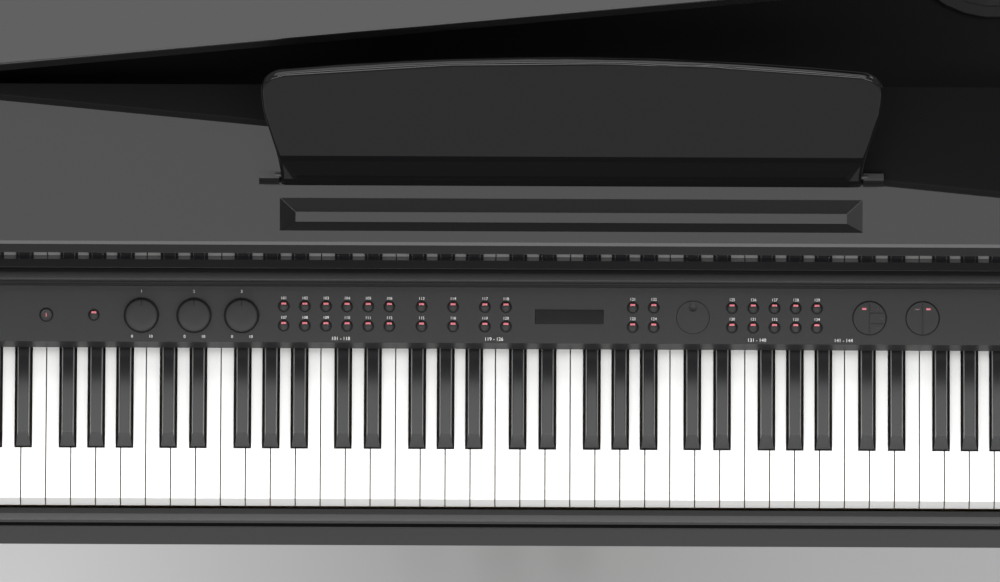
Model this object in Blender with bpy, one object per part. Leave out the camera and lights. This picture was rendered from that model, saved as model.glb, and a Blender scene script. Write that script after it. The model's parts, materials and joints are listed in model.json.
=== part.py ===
"""Digital baby grand piano, built from its separate pieces. Metres, +Z up, front towards -Y.

Most pieces are measured in the keyboard frame: X from the middle of the keyboard, Y back from the
front edge of the white keys and Z up from their tops. The control panel's pieces are measured in the
panel frame: X along it, Y up its slope from the front edge, and Z out of its face.
"""

import math

import bmesh
import bpy
from mathutils import Vector

# Clearances
TOUCH = 0.0003
SLIDE_FIT = 0.0005
KEY_GAP = 0.001

# Keyboard
KEY_PITCH = 0.0235
WHITE_COUNT = 52
KEY_TOP_HEIGHT = 0.735
WHITE_LENGTH = 0.228
WHITE_THICK = 0.0205
HEAD_LENGTH = 0.0502
BLACK_FRONT = 0.0517
BLACK_WIDTH = 0.014
BLACK_TOP_WIDTH = 0.0096
BLACK_HEIGHT = 0.0115
BLACK_SLOPE_RUN = 0.010
BLACK_FALL = math.tan(math.radians(1.58))
BLACK_SIDE_GAP = 0.0013
BLACK_OFFSETS = {"C": -0.0024, "D": 0.0021, "F": -0.0031, "G": 0.0002, "A": 0.0035}
PIVOT_INSET = 0.013
KEY_BAR = 0.006
BLACK_BAR_RISE = 0.0015
BLACK_BAR_THICK = 0.005
TAIL_INSET = 0.0085
LETTERS = "ABCDEFG"
MIDDLE_FIRST = 23
MIDDLE_COUNT = 7

# Case, in the keyboard frame
BLOCK_WIDTH = 0.0675
CASE_FRONT = -0.040
CASE_REAR = 1.110
CASE_BOTTOM = -0.083
RIM_THICK = 0.025
BEND_START = 0.380
TAIL_CORNER = 0.125
ARM_TOP = 0.075
TOP_LEVEL = 0.187
NOSING_THICK = 0.023
NOSING_FRONT = 0.1826
NOSING_CHAMFER = 0.0028
NOSING_SLANT = (0.0041, 0.0112)
NOSING_ROUND = 0.0015
PANEL_SEAM = 0.3465
LID_THICK = 0.018
LID_OPEN = 15.1
HINGE_INSET = 0.0055
HINGE_DROP = 0.005
HINGE_KNUCKLE = 0.0045
HINGE_SPAN = (0.370, 0.930)
LEAF_THICK = 0.003
CHEEK_THICK = 0.0197
CHEEK_SETBACK = 0.003
KEYBED_THICK = 0.028
KEYBED_REAR = 0.350
UPSTAND_SEAT = 0.005
BOTTOM_THICK = 0.018
DECK_TOP = 0.130
DECK_THICK = 0.008

# Fascia, key cover and front
FASCIA_FRONT = 0.1836
FASCIA_BOTTOM = 0.1520
FASCIA_THICK = 0.0181
COVER_SLOPE = 8.0
COVER_THICK = 0.008
COVER_LENGTH = 0.188
COVER_REST = (0.2003, 0.0800)
COVER_TRAVEL = 0.205
RAIL_FRONT = 0.188
RAIL_BOTTOM = 0.0667
RAIL_TOP = 0.0852
GROOVE_DEPTH = 0.008
GROOVE_REAR = 0.170
SLIP_FRONT = -0.015
SLIP_REAR = -0.0025
SLIP_TOP = -0.021
SLIP_BOTTOM = -0.033
SLIP_LIP = 0.006
SLIP_REBATE = 0.003
FRONT_BOARD = -0.017
BLOCK_TOP = 0.030

# Control panel
PANEL_FRONT = (0.146, 0.029)
PANEL_SLOPE = 20.0
PANEL_LENGTH = 0.093
PANEL_THICK = 0.004
PANEL_BOARD = ((-0.515, 0.365), (0.006, 0.078))
PANEL_POSTS = (-0.50, -0.28, -0.07, 0.14, 0.35)
POST_RADIUS = 0.003
BOARD_DROP = 0.0111
BOARD_THICK = 0.0016
WEB_TOP = -0.0080
WEB_THICK = 0.0020
ROW_HIGH = 0.0340
ROW_LOW = 0.0157
MIDDLE_ROW = 0.0250
BUTTON_RADIUS = 0.0049
BUTTON_RISE = 0.0020
WEB_MARGIN = 0.001
POWER_RADIUS = 0.0060
KNOB_RADIUS = 0.0151
KNOB_WELL = 0.0167
WELL_DEPTH = 0.0020
KNOB_RISE = 0.0100
POINTER_START = 0.0085
POINTER_WIDTH = 0.0012
POINTER_DEPTH = 0.0005
SHAFT_RADIUS = 0.003
WHEEL_RADIUS = 0.0154
WHEEL_WELL = 0.0158
PAD_RADIUS = 0.0157
DISPLAY_SIZE = (0.0640, 0.0132)
POWER_X = -0.4937
DEMO_X = -0.4489
KNOB_XS = {"volume_knob": -0.4041, "bass_knob": -0.3546, "treble_knob": -0.3098}
WHEEL_X = 0.1153
DISPLAY_X = -0.0011
BUTTON_GROUPS = {
    "rhythm_buttons": (-0.2701, 0.0199),
    "tempo_buttons": (-0.1403, 0.0297),
    "layer_buttons": (-0.0807, 0.0199),
    "function_buttons": (0.0586, 0.0198),
    "voice_buttons": (0.1521, 0.0200),
}
COLUMN_COUNTS = {
    "rhythm_buttons": 6,
    "tempo_buttons": 2,
    "layer_buttons": 2,
    "function_buttons": 2,
    "voice_buttons": 5,
}
RECORD_X = 0.2816
SONG_X = 0.3316

# Music desk and its recess
DESK_FOOT = 0.2458
DESK_LEAN = 20.0
DESK_HEIGHT = 0.1780
DESK_THICK = 0.010
DESK_EDGE = 0.0040
DESK_SAGITTA = 0.019
DESK_TOP_HALF = 0.291
DESK_FLARE = 0.018
DESK_CORNER = 0.024
ROD_RADIUS = 0.0025
ROD_BLOCK = (0.0070, 0.0085)
ROD_BLOCK_LENGTH = 0.019
ROD_BLOCK_FRONT = 0.2494
ROD_SEAT = 0.004
RECESS_WIDTH = 0.0329
RECESS_SLOPES = (0.015, 0.01155)
RECESS_REAR = 0.2333
RECESS_DEPTH = 0.0083

# Speakers, lid prop and electronics
SPEAKER_INSET = 0.326
SPEAKER_DEPTH = 0.579
SPEAKER_RADIUS = 0.094
BASKET_RADIUS = 0.0835
PROP_PIVOT = (0.270, 0.700)
BOARD_SPOT = (-0.380, 0.560)
BOARD_SIZE = (0.220, 0.160)
SUPPLY_SPOT = (0.120, 0.520)
SUPPLY_SIZE = (0.160, 0.100, 0.050)
PROP_LENGTH = 0.320
PROP_WIDTH = 0.016
PROP_THICK = 0.012
PROP_LIFT = 0.009
PROP_PIN = 0.0025
PROP_REST = 0.012
LUG_THICK = 0.0065
LUG_WIDTH = 0.016
LUG_TOP = 0.007
BRACKET_SEAT = 0.003

# Legs, lyre and pedals
LEG_INSET = 0.070
FRONT_LEG_Y = 0.070
REAR_LEG = (-0.150, 0.930)
LEG_PROFILE = ((0.0, 0.030), (0.030, 0.034), (0.036, 0.028), (0.52, 0.040), (0.53, 0.048))
LYRE_Y = 0.365
LYRE_POST = 0.022
LYRE_POST_X = 0.055
LYRE_BOX = (0.260, 0.150, 0.080)
LYRE_BOX_FLOOR = 0.020
LYRE_PLATE = (0.220, 0.090, 0.012)
PEDAL_XS = {"soft_pedal": -0.070, "sostenuto_pedal": 0.0, "sustain_pedal": 0.070}
PEDAL_WIDTH = 0.022
PEDAL_THICK = 0.008
PEDAL_REACH = 0.080
PEDAL_AXLE = 0.004
PEDAL_HUB = 0.009
PEDAL_TIP = 0.015
PEDAL_NECK = 0.040
PEDAL_SHOULDER = 0.006
PEDAL_LEVEL = 0.055
PEDAL_SLOT_GAP = 0.001
PEDAL_PIVOT_DEPTH = 0.100
AXLE_LENGTH = 0.180

SMOOTH_ANGLE = math.radians(35.0)

CASE_MIDDLE = (CASE_FRONT + CASE_REAR) / 2
KEYS_HALF = KEY_PITCH * WHITE_COUNT / 2
BLOCK_INNER = KEYS_HALF + KEY_GAP
CHEEK_HALF = BLOCK_INNER + BLOCK_WIDTH + SLIDE_FIT
INNER_HALF = CHEEK_HALF + CHEEK_THICK + TOUCH
HALF_CASE = INNER_HALF + RIM_THICK
KEYBED_TOP = CASE_BOTTOM + KEYBED_THICK
RIM_TOP = TOP_LEVEL - LID_THICK - TOUCH
SLAB_BOTTOM = TOP_LEVEL - NOSING_THICK
FLOOR = -KEY_TOP_HEIGHT
DESK_FOOT_HALF = DESK_TOP_HALF - DESK_FLARE
RECESS_HALF = DESK_FOOT_HALF + SLIDE_FIT
SPEAKER_X = HALF_CASE - SPEAKER_INSET
SPEAKER_Y = CASE_REAR - SPEAKER_DEPTH
KEY_PIVOT = WHITE_LENGTH - PIVOT_INSET
BLACK_TAIL = WHITE_LENGTH - TAIL_INSET


def clear_scene():
    for obj in list(bpy.data.objects):
        bpy.data.objects.remove(obj)


def finish(name, colour, roughness, metallic=0.0):
    material = bpy.data.materials.new(name)
    material.use_nodes = True
    shader = material.node_tree.nodes["Principled BSDF"]
    shader.inputs["Base Color"].default_value = (*colour, 1.0)
    shader.inputs["Roughness"].default_value = roughness
    shader.inputs["Metallic"].default_value = metallic
    return material


def frame(name, location, rotation=(0.0, 0.0, 0.0), parent=None):
    # An empty that carries pieces measured from one place.
    empty = bpy.data.objects.new(name, None)
    bpy.context.scene.collection.objects.link(empty)
    empty.location = location
    empty.rotation_euler = [math.radians(angle) for angle in rotation]
    empty.parent = parent
    return empty


def add(name, mesh_maker, look=None, parent=None, origin=(0.0, 0.0, 0.0), turn=(0.0, 0.0, 0.0)):
    # A piece whose points mesh_maker gives in the parent's frame, with its own origin at `origin`.
    mesh = bpy.data.meshes.new(name)
    shape = bmesh.new()
    mesh_maker(shape)
    bmesh.ops.translate(shape, verts=shape.verts, vec=-Vector(origin))
    bmesh.ops.recalc_face_normals(shape, faces=shape.faces)
    shape.to_mesh(mesh)
    shape.free()
    mesh.shade_smooth()
    mesh.set_sharp_from_angle(angle=SMOOTH_ANGLE)
    obj = bpy.data.objects.new(name, mesh)
    bpy.context.scene.collection.objects.link(obj)
    obj.location = origin
    obj.rotation_euler = [math.radians(angle) for angle in turn]
    obj.parent = parent
    if look:
        mesh.materials.append(finish(name, *look))
    return obj


def prism(outline, low, high, axis):
    # Extrudes an outline along an axis: YZ points along X, XZ points along Y, XY points along Z.
    def make(shape):
        points = {
            "X": lambda a, b: (low, a, b),
            "Y": lambda a, b: (a, low, b),
            "Z": lambda a, b: (a, b, low),
        }
        face = shape.faces.new([shape.verts.new(points[axis](a, b)) for a, b in outline])
        grown = bmesh.ops.extrude_face_region(shape, geom=[face])
        moved = [item for item in grown["geom"] if isinstance(item, bmesh.types.BMVert)]
        step = Vector([(high - low) * (letter == axis) for letter in "XYZ"])
        bmesh.ops.translate(shape, verts=moved, vec=step)

    return make


def box(x, y, z):
    return prism([(x[0], y[0]), (x[1], y[0]), (x[1], y[1]), (x[0], y[1])], z[0], z[1], "Z")


def turned(profile, steps, centre):
    # Spins (radius, height) points that start and end on an upright axis.
    def make(shape):
        points = [shape.verts.new((radius, 0.0, height)) for radius, height in profile]
        edges = [shape.edges.new(pair) for pair in zip(points, points[1:])]
        bmesh.ops.spin(
            shape,
            geom=points + edges,
            axis=(0.0, 0.0, 1.0),
            cent=(0.0, 0.0, 0.0),
            angle=math.tau,
            steps=steps,
            use_merge=True,
        )
        bmesh.ops.remove_doubles(shape, verts=shape.verts, dist=0.00001)
        bmesh.ops.translate(shape, verts=shape.verts, vec=centre)

    return make


def together(*makers):
    # Several closed shapes in one mesh, for a cutter or for a union.
    def make(shape):
        for maker in makers:
            part = bmesh.new()
            maker(part)
            bmesh.ops.recalc_face_normals(part, faces=part.faces)
            mesh = bpy.data.meshes.new("shape")
            part.to_mesh(mesh)
            part.free()
            shape.from_mesh(mesh)
            bpy.data.meshes.remove(mesh)

    return make


def frustum(x, y, z):
    # A straight-sided solid between a low rectangle and a high one: x and y hold both their spans.
    def make(shape):
        rings = []
        for level in range(2):
            corners = (
                (x[level][0], y[level][0]),
                (x[level][1], y[level][0]),
                (x[level][1], y[level][1]),
                (x[level][0], y[level][1]),
            )
            rings.append([shape.verts.new((a, b, z[level])) for a, b in corners])
        shape.faces.new(rings[0][::-1])
        shape.faces.new(rings[1])
        for index in range(4):
            after = (index + 1) % 4
            shape.faces.new((rings[0][index], rings[0][after], rings[1][after], rings[1][index]))

    return make


def helper(name, maker, parent):
    obj = add(name, maker, None, parent)
    obj.hide_render = True
    obj.display_type = "WIRE"
    return obj


def combine(obj, other, operation):
    modifier = obj.modifiers.new(other.name, "BOOLEAN")
    modifier.operation = operation
    modifier.solver = "EXACT"
    modifier.object = other


def cut(obj, maker):
    combine(obj, helper(obj.name + "_cutter", maker, obj.parent), "DIFFERENCE")


def join(obj, maker):
    combine(obj, helper(obj.name + "_extra", maker, obj.parent), "UNION")


def arc(centre, radius, start, end, steps):
    # Points along an arc, with its angles in degrees.
    angles = [math.radians(start + (end - start) * step / steps) for step in range(steps + 1)]
    return [(centre[0] + radius * math.cos(a), centre[1] + radius * math.sin(a)) for a in angles]


def curve_points(points, steps):
    # A cubic Bezier curve through four control points, without its first point.
    found = []
    for step in range(1, steps + 1):
        t = step / steps
        weights = ((1 - t) ** 3, 3 * t * (1 - t) ** 2, 3 * t**2 * (1 - t), t**3)
        found.append(tuple(sum(w * p[axis] for w, p in zip(weights, points)) for axis in range(2)))
    return found


def inset(path, distance):
    # Moves an open path to its left by a distance, keeping each straight's ends square to it.
    moved = []
    for index, point in enumerate(path):
        before = Vector(path[max(index - 1, 0)])
        after = Vector(path[min(index + 1, len(path) - 1)])
        first = (Vector(point) - before).normalized() if index else (after - Vector(point)).normalized()
        last = (after - Vector(point)).normalized() if index + 1 < len(path) else first
        along = (first + last).normalized()
        reach = distance / max(along.dot(first), 0.5)
        moved.append((point[0] - along.y * reach, point[1] + along.x * reach))
    return moved


def clipped(outline, axis, limit):
    # The part of a closed outline that lies beyond a limit on one axis.
    kept = []
    for index, point in enumerate(outline):
        other = outline[(index + 1) % len(outline)]
        here = point[axis] - limit
        there = other[axis] - limit
        if here >= 0:
            kept.append(point)
        if here * there < 0:
            share = here / (here - there)
            kept.append(tuple(a + (b - a) * share for a, b in zip(point, other)))
    return kept


def case_path():
    # The case's outer edge, from the right arm round the tail to the left arm.
    waist = (HALF_CASE - 0.490, CASE_REAR - 0.270)
    bend = ((HALF_CASE, BEND_START), (HALF_CASE, waist[1] - 0.200))
    bend += ((waist[0] + 0.195, waist[1] - 0.180), waist)
    tail = (waist, (waist[0] - 0.117, waist[1] + 0.108))
    tail += ((waist[0] - 0.215, CASE_REAR), (waist[0] - 0.415, CASE_REAR))
    corner = (TAIL_CORNER - HALF_CASE, CASE_REAR - TAIL_CORNER)
    path = [(HALF_CASE, CASE_FRONT), (HALF_CASE, BEND_START)]
    path += curve_points(bend, 14)
    path += curve_points(tail, 12)
    path += arc(corner, TAIL_CORNER, 90.0, 180.0, 8)
    path.append((-HALF_CASE, CASE_FRONT))
    return path


def inner_outline(gap, front):
    # The plan of what lies inside the rim, behind `front`.
    return clipped(inset(case_path(), RIM_THICK + gap), 1, front)


def arm_curve():
    # The side view of an arm's top, from its front end up to the top panel.
    start = (CASE_FRONT, ARM_TOP)
    end = (0.183, SLAB_BOTTOM - TOUCH)
    middle = ((0.060, ARM_TOP + 0.005), (0.110, end[1]))
    return [start] + curve_points((start, middle[0], middle[1], end), 12)


def slanted(low, high, centre, angle):
    # Corners of a long strip in side view: (along, across) spans turned about a centre.
    turn = math.radians(angle)
    corners = ((low[0], low[1]), (high[0], low[1]), (high[0], high[1]), (low[0], high[1]))
    return [
        (
            centre[0] + u * math.cos(turn) - v * math.sin(turn),
            centre[1] + u * math.sin(turn) + v * math.cos(turn),
        )
        for u, v in corners
    ]


def round_bar(radius, low, high, centre, steps=24):
    # A cylinder along X at a (Y, Z) centre.
    return prism(arc(centre, radius, 0.0, 360.0 * (steps - 1) / steps, steps - 1), low, high, "X")


def disc(x, y, radius, low, high, steps=16):
    return prism(arc((x, y), radius, 0.0, 360.0 * (steps - 1) / steps, steps - 1), low, high, "Z")


def tapered(profile, x, y, base):
    # A square post through (height, half width) levels.
    def make(shape):
        rings = []
        for height, half in profile:
            corners = ((-half, -half), (half, -half), (half, half), (-half, half))
            rings.append([shape.verts.new((x + a, y + b, base + height)) for a, b in corners])
        shape.faces.new(rings[0][::-1])
        shape.faces.new(rings[-1])
        for lower, upper in zip(rings, rings[1:]):
            for index in range(4):
                after = (index + 1) % 4
                shape.faces.new((lower[index], lower[after], upper[after], upper[index]))

    return make


def white_left(index):
    return -KEYS_HALF + KEY_PITCH * index


def letter(index):
    return LETTERS[index % len(LETTERS)]


def black_after(index):
    # The middle of the black key that follows a white key, or None.
    if index < 0 or index >= WHITE_COUNT - 1 or letter(index) not in BLACK_OFFSETS:
        return None
    return white_left(index + 1) + BLACK_OFFSETS[letter(index)]


def white_key(index, rear):
    left = white_left(index) + KEY_GAP / 2
    right = white_left(index + 1) - KEY_GAP / 2
    outline = [(left, 0.0), (right, 0.0)]
    room = BLACK_WIDTH / 2 + BLACK_SIDE_GAP
    behind = black_after(index)
    if behind is None:
        outline.append((right, rear))
    else:
        outline += [(right, HEAD_LENGTH), (behind - room, HEAD_LENGTH), (behind - room, rear)]
    before = black_after(index - 1)
    if before is None:
        outline.append((left, rear))
    else:
        outline += [(before + room, rear), (before + room, HEAD_LENGTH), (left, HEAD_LENGTH)]
    return prism(outline, -WHITE_THICK, 0.0, "Z")


def black_key(middle, rear):
    # A straight lower half and a tapered upper half whose top falls to the rear.
    def make(shape):
        crest = BLACK_FRONT + BLACK_SLOPE_RUN
        low = BLACK_WIDTH / 2
        top = BLACK_TOP_WIDTH / 2
        rear_top = BLACK_HEIGHT - (rear - crest) * BLACK_FALL
        rings = []
        for half, front, height, rear_height in (
            (low, BLACK_FRONT, -WHITE_THICK, -WHITE_THICK),
            (low, BLACK_FRONT, 0.0, 0.0),
            (top, crest, BLACK_HEIGHT, rear_top),
        ):
            rings.append(
                [
                    shape.verts.new((middle - half, front, height)),
                    shape.verts.new((middle + half, front, height)),
                    shape.verts.new((middle + half, rear, rear_height)),
                    shape.verts.new((middle - half, rear, rear_height)),
                ]
            )
        shape.faces.new(rings[0][::-1])
        shape.faces.new(rings[2])
        for lower, upper in zip(rings, rings[1:]):
            for index in range(4):
                after = (index + 1) % 4
                shape.faces.new((lower[index], lower[after], upper[after], upper[index]))
        bmesh.ops.triangulate(shape, faces=shape.faces)

    return make


GLOSS_BLACK = ((0.010, 0.010, 0.011), 0.08)
SATIN_BLACK = ((0.025, 0.025, 0.027), 0.45)
DARK_WOOD = ((0.020, 0.019, 0.018), 0.60)
IVORY_WHITE = ((0.82, 0.81, 0.78), 0.25)
KEY_BLACK = ((0.015, 0.015, 0.016), 0.30)
PALE_WOOD = ((0.45, 0.33, 0.20), 0.65)
BRASS = ((0.60, 0.45, 0.20), 0.30, 1.0)
STEEL = ((0.45, 0.45, 0.46), 0.35, 1.0)
CIRCUIT = ((0.02, 0.10, 0.05), 0.50)
CONE_PAPER = ((0.05, 0.05, 0.05), 0.70)

clear_scene()
keyboard = frame("keyboard_frame", (0.0, -CASE_MIDDLE, KEY_TOP_HEIGHT))
panel = frame("panel_frame", (0.0, *PANEL_FRONT), (PANEL_SLOPE, 0.0, 0.0), keyboard)

# Case
path = case_path()
rim_outline = path + inset(path, RIM_THICK)[::-1]
rim = add("case_rim", prism(rim_outline, CASE_BOTTOM, RIM_TOP, "Z"), GLOSS_BLACK, keyboard)
arms_air = [(CASE_FRONT - 0.02, ARM_TOP)] + arm_curve()
arms_air += [(PANEL_SEAM + TOUCH, SLAB_BOTTOM - TOUCH), (PANEL_SEAM + TOUCH, 0.30)]
arms_air.append((CASE_FRONT - 0.02, 0.30))
cut(rim, prism(arms_air, -0.8, 0.8, "X"))

groove_start = -(COVER_TRAVEL + SLIDE_FIT + TOUCH)
groove_half = COVER_THICK / 2 + TOUCH
groove = slanted((groove_start, -groove_half), (GROOVE_REAR, groove_half), COVER_REST, COVER_SLOPE)
cheek_front = CASE_FRONT + CHEEK_SETBACK
for name, side in (("left_cheek", -1), ("right_cheek", 1)):
    profile = [(cheek_front, ARM_TOP)] + [(y, z) for y, z in arm_curve() if y > cheek_front]
    profile += [(PANEL_SEAM, SLAB_BOTTOM - TOUCH), (PANEL_SEAM, KEYBED_TOP + TOUCH)]
    profile.append((cheek_front, KEYBED_TOP + TOUCH))
    spans = sorted((side * CHEEK_HALF, side * (CHEEK_HALF + CHEEK_THICK)))
    cheek = add(name, prism(profile, *spans, "X"), GLOSS_BLACK, keyboard)
    spans = sorted((side * (CHEEK_HALF - 0.001), side * (CHEEK_HALF + GROOVE_DEPTH)))
    cut(cheek, prism(groove, *spans, "X"))

for name, side in (("left_key_block", -1), ("right_key_block", 1)):
    spans = sorted((side * BLOCK_INNER, side * (CHEEK_HALF - SLIDE_FIT)))
    block = box(spans, (-0.002, PANEL_FRONT[0] - SLIDE_FIT), (KEYBED_TOP + TOUCH, BLOCK_TOP))
    add(name, block, GLOSS_BLACK, keyboard)

keybed_plate = box(
    (TOUCH - INNER_HALF, INNER_HALF - TOUCH), (FRONT_BOARD, KEYBED_REAR), (CASE_BOTTOM, KEYBED_TOP)
)
keybed = add("keybed", keybed_plate, DARK_WOOD, keyboard)
upstand = box(
    (TOUCH - CHEEK_HALF, CHEEK_HALF - TOUCH),
    (FRONT_BOARD, SLIP_REAR),
    (KEYBED_TOP - UPSTAND_SEAT, SLIP_BOTTOM - TOUCH),
)
join(keybed, upstand)

inside = inner_outline(TOUCH, KEYBED_REAR + TOUCH)
bottom_board = prism(inside, CASE_BOTTOM, CASE_BOTTOM + BOTTOM_THICK, "Z")
add("bottom_board", bottom_board, DARK_WOOD, keyboard)

corner = (SLIP_FRONT + 0.0025, SLIP_TOP - 0.0025)
slip = [(SLIP_REAR, SLIP_TOP)] + arc(corner, 0.0025, 90.0, 180.0, 5)
slip += [(SLIP_FRONT, SLIP_TOP - SLIP_LIP), (SLIP_FRONT + SLIP_REBATE, SLIP_TOP - SLIP_LIP)]
slip += [(SLIP_FRONT + SLIP_REBATE, SLIP_BOTTOM), (SLIP_REAR, SLIP_BOTTOM)]
add("keyslip", prism(slip, TOUCH - CHEEK_HALF, CHEEK_HALF - TOUCH, "X"), SATIN_BLACK, keyboard)

name_rail = box(
    (TOUCH - CHEEK_HALF, CHEEK_HALF - TOUCH),
    (FASCIA_FRONT, FASCIA_FRONT + FASCIA_THICK),
    (FASCIA_BOTTOM, SLAB_BOTTOM - TOUCH),
)
add("name_rail", name_rail, GLOSS_BLACK, keyboard)

brow = NOSING_FRONT + NOSING_SLANT[0]
brow_level = TOP_LEVEL - NOSING_CHAMFER
low = (NOSING_FRONT + NOSING_ROUND, SLAB_BOTTOM + NOSING_ROUND)
slab = [(brow + NOSING_CHAMFER, TOP_LEVEL), (brow, brow_level)]
slab += [(NOSING_FRONT, brow_level - NOSING_SLANT[1])] + arc(low, NOSING_ROUND, 180.0, 270.0, 3)
slab += [(PANEL_SEAM - TOUCH, SLAB_BOTTOM), (PANEL_SEAM - TOUCH, TOP_LEVEL)]
top_panel = add("top_panel", prism(slab, -HALF_CASE, HALF_CASE, "X"), GLOSS_BLACK, keyboard)
recess_middle = RECESS_REAR - RECESS_WIDTH / 2
rise = 0.001
spread = 1 + rise / RECESS_DEPTH
recess_x = [RECESS_HALF - RECESS_SLOPES[0] * (1 - share) for share in (0, spread)]
recess_y = [RECESS_WIDTH / 2 - RECESS_SLOPES[1] * (1 - share) for share in (0, spread)]
recess = frustum(
    [(-half, half) for half in recess_x],
    [(recess_middle - half, recess_middle + half) for half in recess_y],
    (TOP_LEVEL - RECESS_DEPTH, TOP_LEVEL + rise),
)
cut(top_panel, recess)

# Lid and the deck below it
hinge_axis = (HINGE_INSET - HALF_CASE, PANEL_SEAM, TOP_LEVEL - HINGE_DROP)
lid_outline = clipped(clipped(case_path(), 1, PANEL_SEAM + TOUCH), 0, hinge_axis[0] + 0.005)
lid_board = prism(lid_outline, TOP_LEVEL - LID_THICK, TOP_LEVEL, "Z")
add("lid", lid_board, GLOSS_BLACK, keyboard, hinge_axis, (0.0, -LID_OPEN, 0.0))

knuckle = arc((hinge_axis[0], hinge_axis[2]), HINGE_KNUCKLE, -70.0, 250.0, 14)
leaf_top = RIM_TOP + TOUCH + LEAF_THICK
leaf = (hinge_axis[0] - 0.005, hinge_axis[0] + 0.0045)
strip = [(leaf[0], RIM_TOP + TOUCH), (leaf[1], RIM_TOP + TOUCH), (leaf[1], leaf_top)]
strip += [(knuckle[0][0], leaf_top)] + knuckle + [(knuckle[-1][0], leaf_top), (leaf[0], leaf_top)]
add("lid_hinge", prism(strip, *HINGE_SPAN, "Y"), BRASS, keyboard)

deck = add("inner_deck", prism(inside, DECK_TOP - DECK_THICK, DECK_TOP, "Z"), DARK_WOOD, keyboard)
holes = [
    disc(side * SPEAKER_X, SPEAKER_Y, BASKET_RADIUS + 0.001, 0.10, 0.15, 40) for side in (-1, 1)
]
cut(deck, together(*holes))
prop_x, prop_y = PROP_PIVOT
prop_z = DECK_TOP + PROP_LIFT
seat = DECK_TOP - BRACKET_SEAT
lug_inner = PROP_WIDTH / 2 + SLIDE_FIT
bracket = []
for side in (-1, 1):
    spans = sorted((prop_y + side * lug_inner, prop_y + side * (lug_inner + LUG_THICK)))
    bracket.append(
        box((prop_x - LUG_WIDTH / 2, prop_x + LUG_WIDTH / 2), spans, (seat, prop_z + LUG_TOP))
    )
pin = arc((prop_x, prop_z), PROP_PIN, 0.0, 345.0, 23)
bracket.append(prism(pin, prop_y - lug_inner - 0.0015, prop_y + lug_inner + 0.0015, "Y"))
tip = prop_x - PROP_LENGTH
bracket.append(
    box(
        (tip + PROP_THICK, tip + PROP_THICK + PROP_REST),
        (prop_y - PROP_REST / 2, prop_y + PROP_REST / 2),
        (seat, prop_z - PROP_THICK / 2 - TOUCH),
    )
)
for extra in bracket:
    join(deck, extra)

stick = [(tip, prop_z + PROP_THICK / 2), (tip, prop_z - PROP_THICK / 2)]
stick += arc((prop_x, prop_z), PROP_THICK / 2, -90.0, 90.0, 8)
stick_spans = (prop_y - PROP_WIDTH / 2, prop_y + PROP_WIDTH / 2)
prop = add(
    "lid_prop", prism(stick, *stick_spans, "Y"), GLOSS_BLACK, keyboard, (prop_x, prop_y, prop_z)
)
prop_bore = arc((prop_x, prop_z), PROP_PIN + TOUCH, 0.0, 345.0, 23)
cut(prop, prism(prop_bore, prop_y - PROP_WIDTH, prop_y + PROP_WIDTH, "Y"))

# Key cover
cover = slanted((0.0, -COVER_THICK / 2), (COVER_LENGTH, COVER_THICK / 2), COVER_REST, COVER_SLOPE)
cover_half = CHEEK_HALF + GROOVE_DEPTH - SLIDE_FIT
add(
    "key_cover", prism(cover, -cover_half, cover_half, "X"), SATIN_BLACK, keyboard, (0.0, *COVER_REST)
)
rail = [(RAIL_FRONT, RAIL_BOTTOM), (RAIL_FRONT, 0.0820), (0.1890, 0.0833), (0.1945, RAIL_TOP)]
rail += [(0.1965, 0.0850), (0.1994, 0.0845), (0.2005, 0.0762), (0.2005, RAIL_BOTTOM)]
add(
    "cover_rail",
    prism(rail, 0.001 - CHEEK_HALF, CHEEK_HALF - 0.001, "X"),
    GLOSS_BLACK,
    keyboard,
    (0.0, RAIL_FRONT, RAIL_BOTTOM),
)

# Music desk, drawn upright about its rod and then leaned back
lean = math.radians(DESK_LEAN)
rod_up = 0.008
rod_in = DESK_THICK / 2
desk_axis = (
    0.0,
    DESK_FOOT + rod_in * math.cos(lean) + rod_up * math.sin(lean),
    TOP_LEVEL + 0.0008 - rod_in * math.sin(lean) + rod_up * math.cos(lean),
)
top_radius = ((DESK_TOP_HALF - 0.022) ** 2 + DESK_SAGITTA**2) / (2 * DESK_SAGITTA)
crown = (0.0, DESK_HEIGHT - top_radius)
corner_x = DESK_TOP_HALF - DESK_CORNER
swing = math.degrees(math.acos(corner_x / (top_radius - DESK_CORNER)))
corner_z = crown[1] + (top_radius - DESK_CORNER) * math.sin(math.radians(swing))
half_desk = arc((DESK_FOOT_HALF - 0.004, 0.004), 0.004, -90.0, 0.0, 3) + [(DESK_FOOT_HALF, 0.016)]
flank = ((DESK_FOOT_HALF, 0.016), (0.277, 0.060), (DESK_TOP_HALF, 0.090), (DESK_TOP_HALF, corner_z))
half_desk += curve_points(flank, 8) + arc((corner_x, corner_z), DESK_CORNER, 0.0, swing, 8)[1:]
half_desk += arc(crown, top_radius, swing, 90.0, 12)[1:]
desk_outline = half_desk + [(-x, z) for x, z in half_desk[-2::-1]]


def rounded_desk(shape):
    prism(desk_outline, 0.0, DESK_THICK, "Y")(shape)
    edges = []
    for edge in shape.edges:
        first, last = (vert.co for vert in edge.verts)
        if abs(first.y - last.y) < 0.001 and max(first.z, last.z) > 0.0001:
            edges.append(edge)
    bmesh.ops.bevel(
        shape, geom=edges, offset=DESK_EDGE, segments=2, profile=0.5, affect="EDGES", clamp_overlap=True
    )
    bmesh.ops.translate(
        shape, verts=shape.verts, vec=(0.0, desk_axis[1] - rod_in, desk_axis[2] - rod_up)
    )


desk = add("music_desk", rounded_desk, GLOSS_BLACK, keyboard, desk_axis, (-DESK_LEAN, 0.0, 0.0))


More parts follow.
